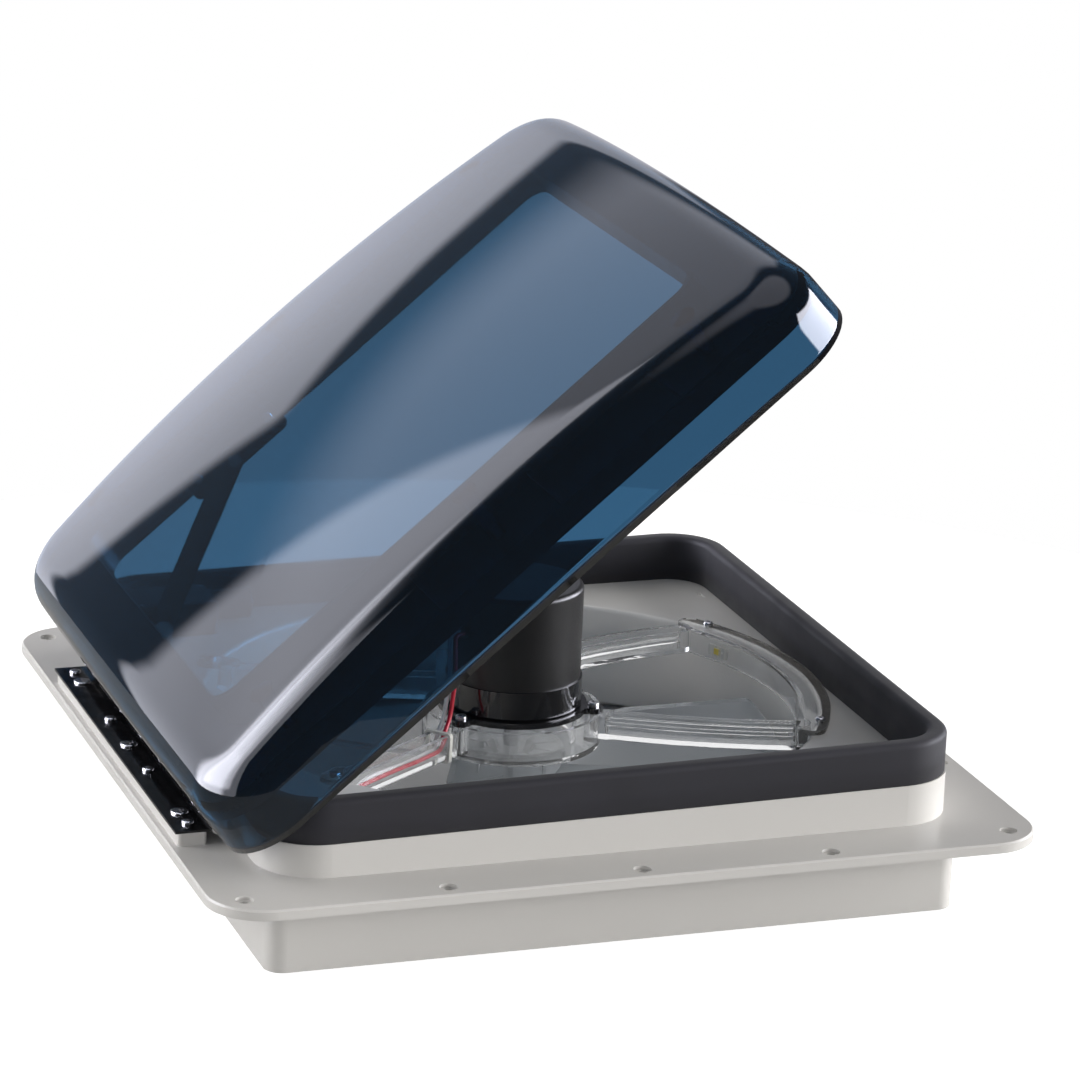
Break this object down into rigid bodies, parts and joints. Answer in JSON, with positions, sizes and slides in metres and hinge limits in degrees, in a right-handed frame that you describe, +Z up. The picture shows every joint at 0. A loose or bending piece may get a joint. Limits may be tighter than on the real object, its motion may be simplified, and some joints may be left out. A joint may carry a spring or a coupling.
{
  "type": "roof vent cover",
  "caption": "Powered square roof vent with a hinged see-through lid held open by a lift arm, over a round duct with a motor, bladed fan, seal, screen and screw flange.",
  "frame": {"origin": "centre of the roof screw pattern, on the underside of the flange", "axes": "+Z up out of the roof, +X from the lid's hinge towards its free edge, +Y along the hinge by the right-hand rule"},
  "size_m": [0.4251, 0.4166, 0.3368],
  "materials": {
    "white_plastic": "satin",
    "deck_plastic": "gloss",
    "smoked_acrylic": "gloss",
    "black_plastic": "satin",
    "frame_plastic": "satin",
    "seal_rubber": "matte",
    "hinge_steel": "gloss",
    "bright_steel": "polished",
    "screw_steel": "satin",
    "clear_plastic": "gloss",
    "impeller_plastic": "gloss",
    "motor_paint": "satin",
    "magnet_ferrite": "matte",
    "sintered_bronze": "satin",
    "armature_copper": "satin",
    "wire_red": "satin",
    "wire_white": "satin",
    "circuit_board": "gloss",
    "nylon": "satin",
    "screen_fabric": "matte"
  },
  "bodies": {
    "base": {"bracket_screws": "screw_steel", "cable_tie": "nylon", "control_board": "circuit_board", "control_box": "white_plastic", "deck_screws": "screw_steel", "fan_deck": "deck_plastic", "hinge_leaf_fixed": "hinge_steel", "hinge_leaf_screws": "bright_steel", "hinge_pin": "bright_steel", "hinge_roof_screws": "bright_steel", "lamp_board": "circuit_board", "lid_seal": "seal_rubber", "lift_drive_case": "black_plastic", "lift_drive_cover": "black_plastic", "lift_drive_screws": "screw_steel", "lift_motor": "motor_paint", "motor_bearings": "sintered_bronze", "motor_bracket": "clear_plastic", "motor_can": "motor_paint", "motor_end_cap": "black_plastic", "motor_magnets": "magnet_ferrite", "motor_ring": "black_plastic", "motor_screws": "screw_steel", "motor_wire_red": "wire_red", "motor_wire_white": "wire_white", "roof_frame": "white_plastic", "screen_clip_screws": "screw_steel", "screen_frame": "white_plastic", "screen_mesh": "screen_fabric", "wire_grommet": "black_plastic"},
    "lid": {"lid_shell": "smoked_acrylic", "lid_frame": "frame_plastic", "lid_frame_screws": "screw_steel", "hinge_leaf_moving": "hinge_steel", "moving_leaf_screws": "screw_steel", "lift_rail": "hinge_steel", "lift_rail_screws": "screw_steel"},
    "arm": {"lift_arm": "hinge_steel", "lift_shaft": "bright_steel", "lift_gear": "nylon", "roller_pin": "bright_steel"},
    "roller": {"lift_roller": "nylon"},
    "fan": {"fan_shaft": "bright_steel", "fan_impeller": "impeller_plastic", "hub_nut": "bright_steel", "motor_armature": "armature_copper"},
    "clip_1": {"screen_clip_1": "nylon"},
    "clip_2": {"screen_clip_2": "nylon"},
    "clip_3": {"screen_clip_3": "nylon"},
    "clip_4": {"screen_clip_4": "nylon"}
  },
  "joints": [
    {"name": "lid_hinge", "type": "hinge", "parent": "base", "child": "lid", "pos_m": [-0.186, 0, 0.013], "axis": [0, -1, 0], "range_deg": [-39.5, 0]},
    {"name": "lift_turn", "type": "hinge", "parent": "base", "child": "arm", "pos_m": [-0.15, 0, 0.031], "axis": [0, -1, 0], "range_deg": [-56.6, 0]},
    {"name": "roller_spin", "type": "hinge", "parent": "arm", "child": "roller", "pos_m": [-0.11272, 0.124, 0.12055], "axis": [0, 1, 0], "continuous": true},
    {"name": "fan_spin", "type": "hinge", "parent": "base", "child": "fan", "pos_m": [0.003, 0, 0], "axis": [0, 0, 1], "continuous": true},
    {"name": "clip_1_turn", "type": "hinge", "parent": "base", "child": "clip_1", "pos_m": [-0.156, -0.156, -0.03], "axis": [0, 0, 1], "range_deg": [0, 90]},
    {"name": "clip_2_turn", "type": "hinge", "parent": "base", "child": "clip_2", "pos_m": [-0.156, 0.156, -0.03], "axis": [0, 0, 1], "range_deg": [0, 90]},
    {"name": "clip_3_turn", "type": "hinge", "parent": "base", "child": "clip_3", "pos_m": [0.156, -0.156, -0.03], "axis": [0, 0, 1], "range_deg": [0, 90]},
    {"name": "clip_4_turn", "type": "hinge", "parent": "base", "child": "clip_4", "pos_m": [0.156, 0.156, -0.03], "axis": [0, 0, 1], "range_deg": [0, 90]}
  ],
  "couplings": [
    {"joint": "lift_turn", "follows": "lid_hinge", "ratio": 1.43}
  ]
}
